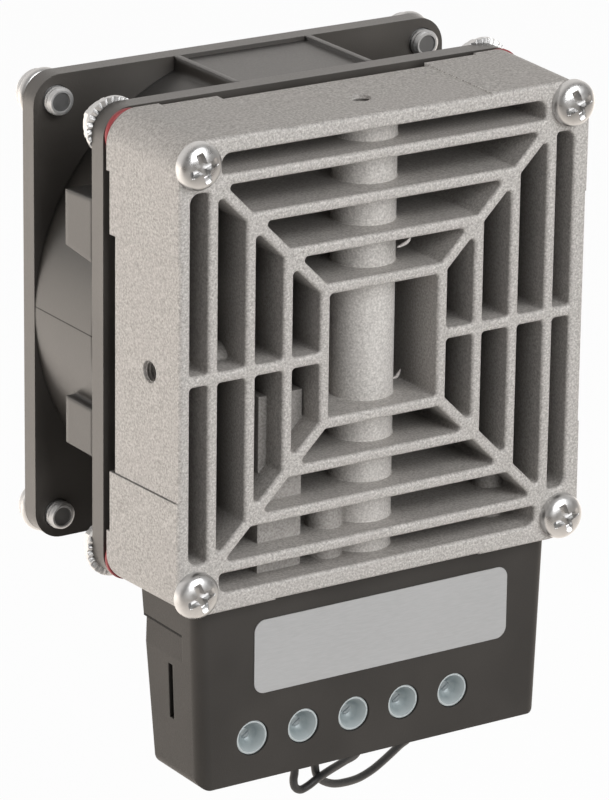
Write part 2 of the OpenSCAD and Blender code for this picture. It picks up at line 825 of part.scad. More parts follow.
module terminal_cover() {
    slot_y = box_front + 7.8;
    slot_top = box_top - 11.8;
    slot_h = 9.6;
    scoop_top = box_top - 5.9;
    scoop_low = slot_top + 0.6;
    color(black) difference() {
        translate([box_x, 0, 0]) difference() {
            box_block();
            along_y(box_front + box_wall, box_rear + over)
                translate([0, over]) box_outline(box_wall, box_wall - over);
            // latch slot and shallow finger scoop on both sides
            for (s = [0, 1]) {
                mirror([s, 0, 0]) {
                    translate([box_half - 3, slot_y, slot_top - slot_h]) cube([6, 1.3, slot_h]);
                    along_y(box_front + 4.6, box_rear + over)
                        polygon([[box_side(scoop_low) + 0.1, scoop_low], [box_half + over, scoop_low],
                            [box_half + over, scoop_top], [box_side(scoop_top) - 0.55, scoop_top]]);
                }
            }
        }
        // terminal holes
        at_terminals() bar_y(term_r + fit, box_front - over, box_front + box_wall + over);
        // two holes for the fan leads
        for (p = [lead_left_in, lead_right_in]) {
            translate([p[0], p[1], box_bottom - over])
                cylinder(h = box_wall + 2 * over, r = lead_hole_r);
        }
    }
}

module terminal_base() {
    top = box_top + 0.1;
    floor_z = box_bottom + box_wall + 1;
    color(black) difference() {
        union() {
            translate([box_x - base_half, base_front, floor_z])
                cube([2 * base_half, 1.8, top - floor_z]);
            translate([box_x - base_half, box_front + box_wall + 1, top - base_top_t])
                cube([2 * base_half, base_front - box_front - box_wall, base_top_t]);
        }
        translate([tube_x, tube_y, top - 4]) cylinder(h = 6, r = cartridge_r + 1);
        translate([pocket_x - 2.4, pocket_front + 1.6, top - 4]) cube([4.8, 5.2, 6]);
        translate([post_left_x, post_left_y, top - 4]) cylinder(h = 6, r = post_tap_r * 1.28);
        translate([post_right_x, post_right_y, top - 4]) cylinder(h = 6, r = post_tap_r * 1.28);
    }
}

module terminal_clamps() {
    color(zinc) at_terminals() difference() {
        translate([-term_r * 1.22, cup_rear, -clamp_box_low])
            cube([term_r * 2.44, clamp_box_d, clamp_box_h]);
        translate([0, cup_rear + clamp_box_d / 2, -clamp_box_low - over])
            cylinder(h = clamp_box_h + 2 * over, r = term_r * 0.44);
    }
}

// metal cup seen through each terminal hole
module terminal_cups() {
    color(zinc) at_terminals() difference() {
        bar_y(term_r, cup_front, cup_rear);
        translate([0, cup_front - 0.01, 0]) rotate([-90, 0, 0])
            cylinder(h = cup_depth, r1 = term_r * 0.93, r2 = term_r * 0.7);
    }
}

// slotted screw in the bottom of each cup
module terminal_screws() {
    seat = cup_front + cup_depth - 0.01;
    high = term_r * 0.3;
    color(steel) at_terminals() difference() {
        bar_y(term_r * 0.6, seat - high, seat);
        rotate([0, 35, 0]) translate([-term_r, seat - high - over, -term_r * 0.1])
            cube([2 * term_r, over + high * 0.55, term_r * 0.2]);
    }
}

module base_screws() {
    top = box_top + 0.1 - base_top_t;
    head = post_tap_r * 1.44;
    color(zinc) for (p = [[post_left_x, post_left_y], [post_right_x, post_right_y]]) {
        translate([p[0], p[1], top - head]) cylinder(h = head, r = post_tap_r * 2.08);
        translate([p[0], p[1], top])
            cylinder(h = base_top_t + post_tap_len * 0.75, r = post_tap_r - 0.05);
    }
}

module blank_plate() {
    r = 2;
    color(silver) translate([plate_x, 0, box_top - plate_down - plate_h / 2])
        along_y(box_front - plate_t, box_front) {
            square([plate_w, plate_h - 2 * r], center = true);
            square([plate_w - 2 * r, plate_h], center = true);
            for (sx = [-1, 1]) {
                for (sy = [-1, 1]) {
                    translate([sx * (plate_w / 2 - r), sy * (plate_h / 2 - r)]) circle(r = r);
                }
            }
        }
}

// smooth curve through the route points, two steps for each span
function spline(a, b, c, d, t) = 0.5 * (2 * b + (c - a) * t + (2 * a - 5 * b + 4 * c - d) * t * t
    + (3 * b - a - 3 * c + d) * t * t * t);
function clampi(i, n) = max(0, min(n, i));
function route(p) = let (n = len(p) - 1) concat(
    [for (i = [0 : n - 1]) for (k = [0, 1])
        spline(p[clampi(i - 1, n)], p[i], p[i + 1], p[clampi(i + 2, n)], k / 2)], [p[n]]);
// direction of the curve; both ends run straight down so that they sit flat
function heading(q, i) = let (n = len(q) - 1)
    (i == 0 || i == n) ? [0, 0, i == 0 ? -1 : 1] : unit(q[i + 1] - q[i - 1]);

// round tube swept along a route
module lead(path) {
    sides = 8;
    q = route(path);
    n = len(q);
    lean = [0.5, -0.86, 0.1];
    pts = [for (i = [0 : n - 1]) let (h = heading(q, i), u = unit(cross(h, lean)), v = cross(h, u))
        for (k = [0 : sides - 1]) q[i] + lead_r * (cos(k * 360 / sides) * u + sin(k * 360 / sides) * v)];
    caps = [[for (k = [0 : sides - 1]) sides - 1 - k], [for (k = [0 : sides - 1]) (n - 1) * sides + k]];
    walls = [for (i = [0 : n - 2]) for (k = [0 : sides - 1]) let (a = i * sides + k,
        b = i * sides + (k + 1) % sides) each [[a, b, b + sides], [a, b + sides, a + sides]]];
    polyhedron(points = pts, faces = concat(caps, walls));
}

module fan_lead_left() {
    color(black) lead(lead_left_path);
}

module fan_lead_right() {
    color(black) lead(lead_right_path);
}

placed() heater_casting();
placed() heating_cartridge();
placed() thermal_limiter();
placed() corner_washers();
placed() clamp_screws();
placed() clamp_nuts();
placed() fan_front_flange();
placed() fan_duct();
placed() fan_rear_flange();
placed() fan_motor_mount();
placed() fan_stator();
placed() fan_windings();
placed() fan_bearings();
placed() fan_shaft();
placed() shaft_clip();
placed() rotor_ring();
placed() fan_impeller();
placed() finger_guard();
placed() guard_screws();
placed() terminal_cover();
placed() terminal_base();
placed() terminal_clamps();
placed() terminal_cups();
placed() terminal_screws();
placed() base_screws();
placed() blank_plate();
placed() fan_lead_left();
placed() fan_lead_right();
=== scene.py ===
"""Looks of the enclosure heater: finishes, soft edges, screws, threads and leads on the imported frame."""
import math

import bmesh
import bpy
import numpy as np
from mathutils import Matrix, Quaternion, Vector


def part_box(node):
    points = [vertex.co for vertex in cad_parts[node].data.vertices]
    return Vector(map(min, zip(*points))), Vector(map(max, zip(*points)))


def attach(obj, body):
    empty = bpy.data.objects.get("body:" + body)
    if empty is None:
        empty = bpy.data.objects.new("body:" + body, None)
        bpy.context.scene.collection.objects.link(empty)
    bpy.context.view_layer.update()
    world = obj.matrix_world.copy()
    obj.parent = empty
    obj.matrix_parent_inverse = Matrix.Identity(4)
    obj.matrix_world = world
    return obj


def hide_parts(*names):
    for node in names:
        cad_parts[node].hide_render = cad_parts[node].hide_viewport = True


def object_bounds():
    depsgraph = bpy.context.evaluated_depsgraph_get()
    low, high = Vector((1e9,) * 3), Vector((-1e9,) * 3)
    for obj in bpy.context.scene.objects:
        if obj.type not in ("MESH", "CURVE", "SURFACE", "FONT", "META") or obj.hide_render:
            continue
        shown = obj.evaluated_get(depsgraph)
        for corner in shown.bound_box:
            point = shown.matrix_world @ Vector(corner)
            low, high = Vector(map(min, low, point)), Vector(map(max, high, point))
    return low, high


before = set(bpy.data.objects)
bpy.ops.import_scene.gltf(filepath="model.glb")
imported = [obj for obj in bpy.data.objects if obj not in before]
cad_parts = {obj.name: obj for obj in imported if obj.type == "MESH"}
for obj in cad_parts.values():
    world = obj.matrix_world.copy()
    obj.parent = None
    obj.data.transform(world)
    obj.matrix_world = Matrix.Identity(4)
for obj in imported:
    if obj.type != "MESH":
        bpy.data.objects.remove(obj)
CAD_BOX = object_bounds()

# sizes in metres; the casting's front face and the fan axis are the two references of every place
MM = 0.001
TAU = 2 * math.pi


def box(node):
    """Lowest and highest corner of a CAD node."""
    low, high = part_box(node)
    return np.array(low), np.array(high)


CAST_LOW, CAST_HIGH = box("heater_casting")
AXIS = np.array([0.0, CAST_LOW[1], (CAST_LOW[2] + CAST_HIGH[2]) / 2])

# corner screws: radius and height of their heads, half the distance between their axes, their places
SCREW_LOW, SCREW_HIGH = box("clamp_screws")
HEAD_R = 3.9 * MM
HEAD_H = 2.6 * MM
HOLE_HALF = float(SCREW_HIGH[0] - SCREW_LOW[0]) / 2 - HEAD_R
CORNERS = AXIS + np.array([(x, 0.0, z) for x in (-HOLE_HALF, HOLE_HALF) for z in (-HOLE_HALF, HOLE_HALF)])

# half widths of the casting: outside, inside its walls, edge of the sunk panels, window in the middle
CAST_HALF = float(CAST_HIGH[2] - CAST_LOW[2]) / 2
INNER_HALF = CAST_HALF - 3.2 * MM
PANEL_HALF = 20 * MM
WINDOW_HALF = 11.5 * MM

# tube in the middle of the casting: its axis right of the fan axis and behind the front, its radius
TUBE_X = 1.5 * MM
TUBE_Y = 9 * MM
TUBE_R = 5.45 * MM

# tapped fixing holes: outer radius of the thread, mouth of the left hole; the top hole's is the origin
HOLE_R = 1.78 * MM
SIDE_HOLE = np.array([-39.028 * MM, 0.0, AXIS[2]])


# camera, floor and light; the glows are what reflections see in front of the heater, behind it
# and on the floor behind it

FRONT_GLOW = 0.3
BACK_GLOW = 1.0
FLOOR_GLOW = 2.2
SKY_LEVEL = 0.12
FLOOR_DROP = 0.05
FLOOR_HALF = 4.0
CAMERA_PLACE = Vector(AXIS) + Vector((-0.42817, -0.63424, 0.25556))
CAMERA_AIM = Vector(AXIS) + Vector((-0.00821, 0.01083, -0.01093))
CAMERA_ROLL = math.radians(0.758)
CAMERA_LENS = 295.7
SENSOR_WIDTH = 36


def added(name, data):
    """A new object of the scene, at the origin."""
    made = bpy.data.objects.new(name, data)
    bpy.context.collection.objects.link(made)
    return made


def aimed(place, aim):
    """Rotation that turns an object's -Z from place toward aim, with its +Y up."""
    return (Vector(aim) - Vector(place)).to_track_quat("-Z", "Y")


def make_camera():
    """A long lens in front of the heater, from the left and above, with a small roll."""
    camera = added("camera", bpy.data.cameras.new("camera"))
    camera.data.sensor_fit = "HORIZONTAL"
    camera.data.sensor_width = SENSOR_WIDTH
    camera.data.lens = CAMERA_LENS
    camera.data.clip_start = 10 * MM
    camera.location = CAMERA_PLACE
    camera.rotation_mode = "QUATERNION"
    camera.rotation_quaternion = aimed(CAMERA_PLACE, CAMERA_AIM) @ Quaternion((0, 0, 1), CAMERA_ROLL)
    bpy.context.scene.camera = camera


def softbox(name, direction, distance, size, watts, tint=(1, 1, 1)):
    """A square area lamp at a distance from the middle of the casting, facing it."""
    lamp = bpy.data.lights.new(name, "AREA")
    lamp.size = size
    lamp.energy = watts
    lamp.color = tint
    holder = added(name, lamp)
    middle = Vector(AXIS)
    holder.location = middle + Vector(direction).normalized() * distance
    holder.rotation_mode = "QUATERNION"
    holder.rotation_quaternion = aimed(holder.location, middle)
    return holder


# materials

class Wire:
    """An output socket of a material; arithmetic on it adds Math nodes."""

    def __init__(self, paint, socket):
        self.paint = paint
        self.socket = socket

    def calc(self, operation, first, second):
        return self.paint.node("ShaderNodeMath", {"operation": operation}, {0: first, 1: second})

    def __add__(self, other):
        return self.calc("ADD", self, other)

    __radd__ = __add__

    def __sub__(self, other):
        return self.calc("SUBTRACT", self, other)

    def __rsub__(self, other):
        return self.calc("SUBTRACT", other, self)

    def __mul__(self, other):
        return self.calc("MULTIPLY", self, other)

    __rmul__ = __mul__

    def __abs__(self):
        return self.calc("ABSOLUTE", self, 0.0)

    def below(self, other):
        return self.calc("LESS_THAN", self, other)

    def above(self, other):
        return self.calc("GREATER_THAN", self, other)

    def larger(self, other):
        return self.calc("MAXIMUM", self, other)


class Paint:
    """A material or world being built from nodes."""

    def __init__(self, owner, coordinates="Object"):
        self.owner = owner
        owner.use_nodes = True
        self.tree = owner.node_tree
        self.tree.nodes.clear()
        self.place = self.node("ShaderNodeTexCoord", out=coordinates)

    def node(self, kind, settings=None, sockets=None, out=0):
        """Adds a node: its settings first, then the values or links of its sockets."""
        made = self.tree.nodes.new(kind)
        for key, value in (settings or {}).items():
            setattr(made, key, value)
        for key, value in (sockets or {}).items():
            if isinstance(value, Wire):
                self.tree.links.new(value.socket, made.inputs[key])
            else:
                made.inputs[key].default_value = value
        return Wire(self, made.outputs[out]) if made.outputs else None

    def noise(self, size, detail=2.0, rough=0.5):
        """Smooth noise from 0 to 1 with lumps of about the given size in metres."""
        return self.node("ShaderNodeTexNoise", None, {
            "Vector": self.place, "Scale": 0.5 / size, "Detail": detail, "Roughness": rough})

    def spread(self, value, low, high, first=0.0, last=1.0):
        """Maps low..high to first..last and holds the ends."""
        return self.node("ShaderNodeMapRange", {"clamp": True}, {
            "Value": value, "From Min": low, "From Max": high, "To Min": first, "To Max": last})

    def blend(self, mask, first, second):
        """Mixes two colours by a mask from 0 to 1."""
        return self.node("ShaderNodeMix", {"data_type": "RGBA"}, {0: mask, 6: first, 7: second}, out=2)

    def axis(self, letter):
        """Place along X, Y or Z in metres."""
        return self.node("ShaderNodeSeparateXYZ", None, {"Vector": self.place}, out=letter)

    def ray(self, kind):
        """1 for rays of this kind, 0 for others."""
        return self.node("ShaderNodeLightPath", out=f"Is {kind} Ray")

    def relief(self, height, depth, strength=1.0, under=None):
        """Bump of a height from 0 to 1 that is depth metres deep."""
        sockets = {"Height": height, "Distance": depth, "Strength": strength}
        if under is not None:
            sockets["Normal"] = under
        return self.node("ShaderNodeBump", None, sockets)

    def rounded(self, radius):
        """Normals that run smoothly over edges of the given radius."""
        return self.node("ShaderNodeBevel", {"samples": 4}, {"Radius": radius})

    def surface(self, sockets):
        """Ends a material with one surface shader."""
        shader = self.node("ShaderNodeBsdfPrincipled", None, sockets)
        self.node("ShaderNodeOutputMaterial", None, {"Surface": shader})
        return self.owner


def painted(name):
    """A new material, ready for its nodes."""
    return Paint(bpy.data.materials.new(name))


def grey(level, warm=0.0):
    """A linear grey, tinted warm by a small share."""
    return (level * (1 + warm), level, level * (1 - warm), 1.0)


# spans of a noise's values: most of them, and nearly all of them
MOST = (0.35, 0.65)
ALL = (0.3, 0.7)

# the casting's colours and the sizes of its marks
CAST_DARK = (0.33, 0.312, 0.295, 1)
CAST_BRIGHT = (0.60, 0.578, 0.552, 1)
CAST_CLOUD = (0.47, 0.44, 0.425, 1)
# painted light: the colour that brightens the tube
TUBE_PAINTED_LIGHT = (0.80, 0.775, 0.745, 1)
SPECK_PALE = (0.95, 0.93, 0.89, 1)
SPECK_DARK = (0.17, 0.16, 0.15, 1)
# painted shade: the colour that darkens the metal deep in the slots
SLOT_SHADE_COLOUR = (0.10, 0.093, 0.085, 1)
# painted highlight: the bright, broken line on the sunk panel's step on the top
STEP_HIGHLIGHT = (0.85, 0.83, 0.80, 1)
GRAIN = 0.2 * MM
SPECK = 0.16 * MM
SPECK_SHARE = 0.26
STEP_LINE = 0.12 * MM
WALL_SKIN = 2 * MM
EDGE_DEPTH = 0.9 * MM
SPECK_DEPTH = 0.7 * MM
SLOT_SHADE = 0.95
LESS_SHADE = 0.45


def cast_alloy_finish():
    """Sandblasted die-cast alloy: fine bright and dark grains over a faint cloudy tone.
    Shade is painted deep into the slots, less so in the slots over and under the middle and in the
    middle window; light is painted on the tube to brighten it. Front faces and tube carry coarse specks.
    One edge of the sunk panels holds a painted shadow line and one a bright, broken painted highlight."""
    paint = painted("cast_alloy")
    grain = paint.noise(GRAIN, detail=3.0, rough=0.65)
    cloud = paint.noise(5 * MM, detail=3.0)
    side, depth, up = (paint.axis(letter) - float(AXIS[i]) for i, letter in enumerate("XYZ"))
    reach = abs(side).larger(abs(up))
    inside = reach.below(INNER_HALF)
    tube_side, tube_depth = side - TUBE_X, depth - TUBE_Y
    on_tube = (tube_side * tube_side + tube_depth * tube_depth).below(TUBE_R ** 2) * inside
    # painted shade deep in the slots: less in the slots over and under the middle and in the window, where
    # more light falls in, none on the tube
    shade = SLOT_SHADE - abs(up).above(abs(side)) * LESS_SHADE - reach.below(WINDOW_HALF) * LESS_SHADE
    deep = inside * (1 - on_tube) * paint.spread(depth, 2 * MM, 8 * MM) * shade
    # painted shadow line along the sunk panel's step on the left side
    left_step_shadow = side.below(WALL_SKIN - CAST_HALF) * abs(up + PANEL_HALF).below(STEP_LINE)
    # painted highlight along the sunk panel's step on the top
    top_step_highlight = up.above(CAST_HALF - WALL_SKIN) * abs(side - PANEL_HALF).below(STEP_LINE)
    behind = depth.above(EDGE_DEPTH)
    base = paint.blend(paint.spread(grain, 0.34, 0.66), CAST_DARK, CAST_BRIGHT)
    base = paint.blend(paint.spread(cloud, 0.4, 0.7, 0.0, 0.3), base, CAST_CLOUD)
    # painted light on the tube
    base = paint.blend(on_tube * 0.3, base, TUBE_PAINTED_LIGHT)
    speck = paint.noise(SPECK, detail=1.0)
    blasted = depth.below(SPECK_DEPTH).larger(on_tube) * SPECK_SHARE
    base = paint.blend(blasted * paint.spread(speck, 0.52, 0.68), base, SPECK_PALE)
    base = paint.blend(blasted * paint.spread(speck, 0.46, 0.3, 0.0, 0.85), base, SPECK_DARK)
    # painted shade in the slots
    base = paint.blend(deep, base, SLOT_SHADE_COLOUR)
    # painted shadow line on the left step
    base = paint.blend(left_step_shadow * behind * 0.6, base, grey(0.05))
    # painted highlight on the top step
    base = paint.blend(top_step_highlight * behind * paint.spread(grain, 0.4, 0.6), base, STEP_HIGHLIGHT)
    bump = paint.relief(grain, depth=0.05 * MM, strength=0.6, under=paint.rounded(0.3 * MM))
    return paint.surface({"Base Color": base, "Metallic": 0.2, "Normal": bump,
                          "Roughness": paint.spread(grain, *ALL, 0.68, 0.52)})


def zinc_finish(name, level, roughness, metallic=1.0, dish_shade_radius=0.0):
    """Zinc plate with faint cloudy polish marks; within the given radius of the corner screws' axes
    shade is painted into the middle of each screw: the dished thread end and the head's recess."""
    paint = painted(name)
    cloud = paint.noise(0.8 * MM, detail=4.0, rough=0.6)
    base = paint.blend(paint.spread(cloud, *MOST), grey(level * 0.86), grey(level))
    if dish_shade_radius:
        side = abs(paint.axis("X")) - HOLE_HALF
        up = abs(paint.axis("Z") - float(AXIS[2])) - HOLE_HALF
        # painted shade in the middle of each screw
        base = paint.blend((side * side + up * up).below(dish_shade_radius ** 2), base, grey(level * 0.3))
    bump = paint.relief(cloud, depth=0.02 * MM, strength=0.25)
    return paint.surface({"Base Color": base, "Metallic": metallic, "Normal": bump,
                          "Roughness": paint.spread(cloud, *ALL, roughness * 0.7, roughness * 1.3)})


def black_plastic_finish(name, level, roughness, edge, ior, groove_and_shade_of=None):
    """Moulded black plastic: fine eroded skin, soft edges and, where asked, a dark hairline: a seam on
    the duct, painted shade under the finger scoop's edge on the terminal box. The function passed in
    makes its mask, 0 on the line and 1 outside it."""
    paint = painted(name)
    skin = paint.noise(0.12 * MM, detail=2.0)
    cloud = paint.noise(8 * MM, detail=2.0)
    base = paint.blend(paint.spread(cloud, *MOST), grey(level * 0.85, 0.1), grey(level * 1.15, 0.1))
    bump = paint.relief(paint.spread(skin, *ALL), depth=0.015 * MM, strength=0.6,
                        under=paint.rounded(edge))
    groove_and_shade = groove_and_shade_of(paint) if groove_and_shade_of else 1.0
    if groove_and_shade_of:
        # dark hairline: a seam on the duct, painted shade under the scoop edge on the terminal box
        base = paint.blend(groove_and_shade, grey(0.004), base)
    return paint.surface({"Base Color": base, "Normal": bump, "IOR": ior, "Metallic": 1.0 - groove_and_shade,
                          "Roughness": paint.spread(skin, *ALL, roughness * 0.9, roughness * 1.1)})


def duct_seam(paint):
    """A hairline seam round the duct, a little above the fan axis."""
    height, dark_half, whole_half = 1.2 * MM, 0.05 * MM, 0.16 * MM
    return paint.spread(abs(paint.axis("Z") - float(AXIS[2]) - height), dark_half, whole_half)


def scoop_edge_shade(paint):
    """Painted shade along the upper edge of the finger scoop on both sides of the terminal box."""
    low, high = box("terminal_cover")
    below_top, line_half, side_skin, from_front = 5.9 * MM, 0.42 * MM, 1.8 * MM, 4.6 * MM
    middle, half = float(low[0] + high[0]) / 2, float(high[0] - low[0]) / 2
    near = abs(paint.axis("Z") - float(high[2] - below_top)).below(line_half)
    on_side = abs(paint.axis("X") - middle).above(half - side_skin)
    return 1 - near * on_side * paint.axis("Y").above(float(low[1]) + from_front)


def plain_finish(name, low, high, size, roughness, metallic=0.0):
    """A simple mottled finish between two colours."""
    paint = painted(name)
    cloud = paint.noise(size, detail=3.0)
    base = paint.blend(paint.spread(cloud, *MOST), low, high)
    bump = paint.relief(cloud, depth=size * 0.1, strength=0.2)
    return paint.surface({"Base Color": base, "Metallic": metallic, "Normal": bump,
                          "Roughness": paint.spread(cloud, *ALL, roughness * 0.9, roughness * 1.1)})


CUP_RIM = (0.56, 0.61, 0.62, 1)
# painted shade: the colour toward the bottom of each cup
CUP_DEPTH_SHADE = (0.25, 0.29, 0.30, 1)
CUP_CLOUD = (0.46, 0.51, 0.52, 1)


def cup_finish():
    """Bluish plated metal, bright at the rim, with painted shade darkening it toward the bottom of each
    cup.
    """
    paint = painted("cup_metal")
    front = float(box("terminal_cups")[0][1])
    cloud = paint.noise(0.6 * MM, detail=3.0)
    # painted shade deeper in each cup
    base = paint.blend(paint.spread(paint.axis("Y"), front, front + 1.5 * MM), CUP_RIM, CUP_DEPTH_SHADE)
    base = paint.blend(paint.spread(cloud, *MOST, 0.0, 0.3), base, CUP_CLOUD)
    bump = paint.relief(cloud, depth=0.06 * MM, strength=0.2)
    return paint.surface({"Base Color": base, "Metallic": 0.2, "Normal": bump,
                          "Roughness": paint.spread(cloud, *ALL, 0.36, 0.44)})


def plate_finish():
    """Satin silver sheet with a very fine level grain."""
    paint = painted("silver_plate")
    stretched = paint.node("ShaderNodeMapping", None, {"Vector": paint.place, "Scale": (0.1, 1.0, 1.0)})
    streak = paint.node("ShaderNodeTexNoise", None, {"Vector": stretched, "Scale": 5000.0, "Detail": 2.0})
    cloud = paint.noise(9 * MM, detail=2.0)
    base = paint.blend(paint.spread(streak, *ALL), grey(0.41), grey(0.45))
    base = paint.blend(paint.spread(cloud, 0.4, 0.7, 0.0, 0.3), base, grey(0.47))
    bump = paint.relief(streak, depth=0.006 * MM, strength=0.2, under=paint.rounded(0.1 * MM))
    return paint.surface({"Base Color": base, "Metallic": 0.1, "Normal": bump,
                          "Roughness": paint.spread(streak, *ALL, 0.46, 0.54)})


def floor_finish():
    """Pale floor that the eye and, behind the heater, reflections see as bright.
    It takes a faint shadow."""
    paint = painted("floor_white")
    gloss = paint.ray("Glossy")
    seen = paint.ray("Camera").larger(paint.ray("Transmission"))
    level = seen + gloss * paint.spread(paint.axis("Y"), -0.3, 0.3, FRONT_GLOW, FLOOR_GLOW)
    matt = paint.node("ShaderNodeBsdfDiffuse", None, {"Color": grey(0.85)})
    tint = paint.blend(gloss, grey(1.0), grey(1.0, warm=0.09))
    white = paint.node("ShaderNodeEmission", None, {"Color": tint, "Strength": level})
    both = paint.node("ShaderNodeMixShader", None, {0: seen.larger(gloss) * 0.97, 1: matt, 2: white})
    paint.node("ShaderNodeOutputMaterial", None, {"Surface": both})
    return paint.owner


def make_world():
    """Even sky light; the eye sees it white, reflections see a bright back and a dim front."""
    world = bpy.data.worlds.new("studio")
    bpy.context.scene.world = world
    paint = Paint(world, "Generated")
    gloss = paint.ray("Glossy")
    seen = paint.ray("Camera").larger(paint.ray("Transmission"))
    glow = paint.spread(paint.axis("Y"), -0.5, 0.5, FRONT_GLOW, BACK_GLOW)
    strength = seen + gloss * glow + (1 - seen.larger(gloss)) * SKY_LEVEL
    tint = paint.blend(gloss, grey(1.0), grey(1.0, warm=0.04))
    sky = paint.node("ShaderNodeBackground", None, {"Color": tint, "Strength": strength})
    paint.node("ShaderNodeOutputWorld", None, {"Surface": sky})


def make_floor():
    """A wide level square a little under the lowest lead."""
    half, height = FLOOR_HALF, CAD_BOX[0][2] - FLOOR_DROP
    mesh = bpy.data.meshes.new("floor")
    mesh.from_pydata([(-half, -half, height), (half, -half, height), (half, half, height),
                      (-half, half, height)], [], [(0, 1, 2, 3)])
    mesh.materials.append(floor_finish())
    added("floor", mesh)


# shapes

WELD = 1e-7
SHARP_TURN = math.radians(40)
ROUTE_STEPS = 6


def piece(name, grids, material, body):
    """One object from grids of points, each copies x rows x columns x 3, joined round the columns."""
    points, faces, start = [], [], 0
    for grid in grids:
        copies, rows, columns = grid.shape[:3]
        index = start + np.arange(copies * rows * columns).reshape(copies, rows, columns)
        a, b = index[:, :-1, :], index[:, 1:, :]
        faces.append(np.stack([a, np.roll(a, -1, 2), np.roll(b, -1, 2), b], -1).reshape(-1, 4))
        points.append(grid.reshape(-1, 3))
        start += grid[..., 0].size
    mesh = bpy.data.meshes.new(name)
    mesh.from_pydata(np.concatenate(points).tolist(), [], np.concatenate(faces).tolist())
    work = bmesh.new()
    work.from_mesh(mesh)
    bmesh.ops.remove_doubles(work, verts=work.verts, dist=WELD)
    bmesh.ops.recalc_face_normals(work, faces=work.faces)
    work.to_mesh(mesh)
    work.free()
    mesh.shade_smooth()
    mesh.set_sharp_from_angle(angle=SHARP_TURN)
    mesh.materials.append(material)
    made = added(name, mesh)
    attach(made, body)
    return made


def around(sides):
    """Angles of evenly spaced points on a circle."""
    return np.arange(sides) * TAU / sides


def polar(radius, along, angles):
    """Points round the Y axis from their radius, their place along the axis and their angle."""
    along = np.broadcast_to(along, radius.shape)
    return np.stack([radius * np.cos(angles), along, radius * np.sin(angles)], -1)


def repeated(grid, places):
    """The same grid of points at each of several places."""
    return grid[None] + places[:, None, None]


def turned(profile, angles):
    """A profile of (radius, along) turned about Y."""
    return polar(profile[:, :1] * np.ones_like(angles), profile[:, 1:], angles)


def smooth_route(points, steps):
    """A curve through the points: on each span the cubic that matches the neighbours' mean slope."""
    ends = np.concatenate([points[:1], points, points[-1:]])
    a, b, c, d = (ends[i:len(ends) - 3 + i][:, None] for i in range(4))
    t = (np.arange(steps) / steps)[None, :, None]
    curve = 0.5 * (2 * b + (c - a) * t + (2 * a - 5 * b + 4 * c - d) * t ** 2
                   + (3 * b - a - 3 * c + d) * t ** 3)
    return np.concatenate([curve.reshape(-1, 3), points[-1:]])


SIDEWAYS = (0.5, -0.86, 0.1)  # a direction that no lead or shred follows


def tube(route, radius, sides):
    """A round tube along a route: circles across the route's own direction, closed at both ends."""
    ahead = np.gradient(route, axis=0)
    ahead[0] = ahead[-1] = (0, 0, 1)
    ahead /= np.linalg.norm(ahead, axis=1)[:, None]
    side = np.cross(ahead, SIDEWAYS)
    side /= np.linalg.norm(side, axis=1)[:, None]
    across = np.cross(ahead, side)
    angle = around(sides)
    rings = route[:, None] + radius * (np.cos(angle)[:, None] * side[:, None]
                                       + np.sin(angle)[:, None] * across[:, None])
    first = np.broadcast_to(route[0], rings[:1].shape)
    last = np.broadcast_to(route[-1], rings[:1].shape)
    return np.concatenate([first, rings, last])[None]


# the two fan leads

LEAD_D = 1.4 * MM
LEAD_LEFT = AXIS + np.array([
    (0.004, 0.0304, -0.040), (0.004, 0.0304, -0.045), (0.0055, 0.030, -0.053),
    (0.0085, 0.028, -0.063), (0.0115, 0.025, -0.072), (0.0118, 0.0215, -0.0775),
    (0.008, 0.018, -0.0794), (0.0035, 0.015, -0.0789), (-0.0012, 0.0123, -0.0785),
    (-0.0048, 0.0106, -0.0786), (-0.0069, 0.0102, -0.0793), (-0.0086, 0.0099, -0.0795),
    (-0.0098, 0.0097, -0.0787), (-0.0102, 0.0096, -0.0773), (-0.010, 0.0096, -0.0756),
    (-0.0102, 0.0097, -0.073), (-0.0102, 0.0097, -0.068)])
LEAD_RIGHT = AXIS + np.array([
    (0.009, 0.0304, -0.040), (0.009, 0.0304, -0.045), (0.0115, 0.0305, -0.053),
    (0.017, 0.0298, -0.063), (0.0225, 0.0285, -0.072), (0.025, 0.0265, -0.0785),
    (0.0227, 0.024, -0.0818), (0.0196, 0.0222, -0.0822), (0.0137, 0.0189, -0.0828),
    (0.0102, 0.0172, -0.0831), (0.0068, 0.0158, -0.0831), (0.0032, 0.0144, -0.0825),
    (0.0003, 0.0134, -0.0817), (-0.0022, 0.0127, -0.0804), (-0.0037, 0.0123, -0.0789),
    (-0.0043, 0.0121, -0.0772), (-0.0046, 0.0121, -0.073), (-0.0046, 0.0121, -0.068)])


def make_lead(name, points, node, material):
    """One fan lead: a tube on the smooth curve through its route points."""
    route = smooth_route(points, ROUTE_STEPS)
    made = piece(name, [tube(route, LEAD_D / 2, sides=16)], material, "heater")
    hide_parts(node)


# screws, nuts, washers and terminals

# cross recess of a screw head: half width of an arm, width of its sloped wall, where an arm ends, length
# of the slope there, depth at the arms' ends, turn of the cross
ARM_HALF = 0.62 * MM
ARM_WALL = 0.1 * MM
ARM_END = 0.68 * HEAD_R
ARM_SLOPE = 0.22 * HEAD_R
RECESS = 0.6 * MM
CROSS_TURN = math.radians(20)


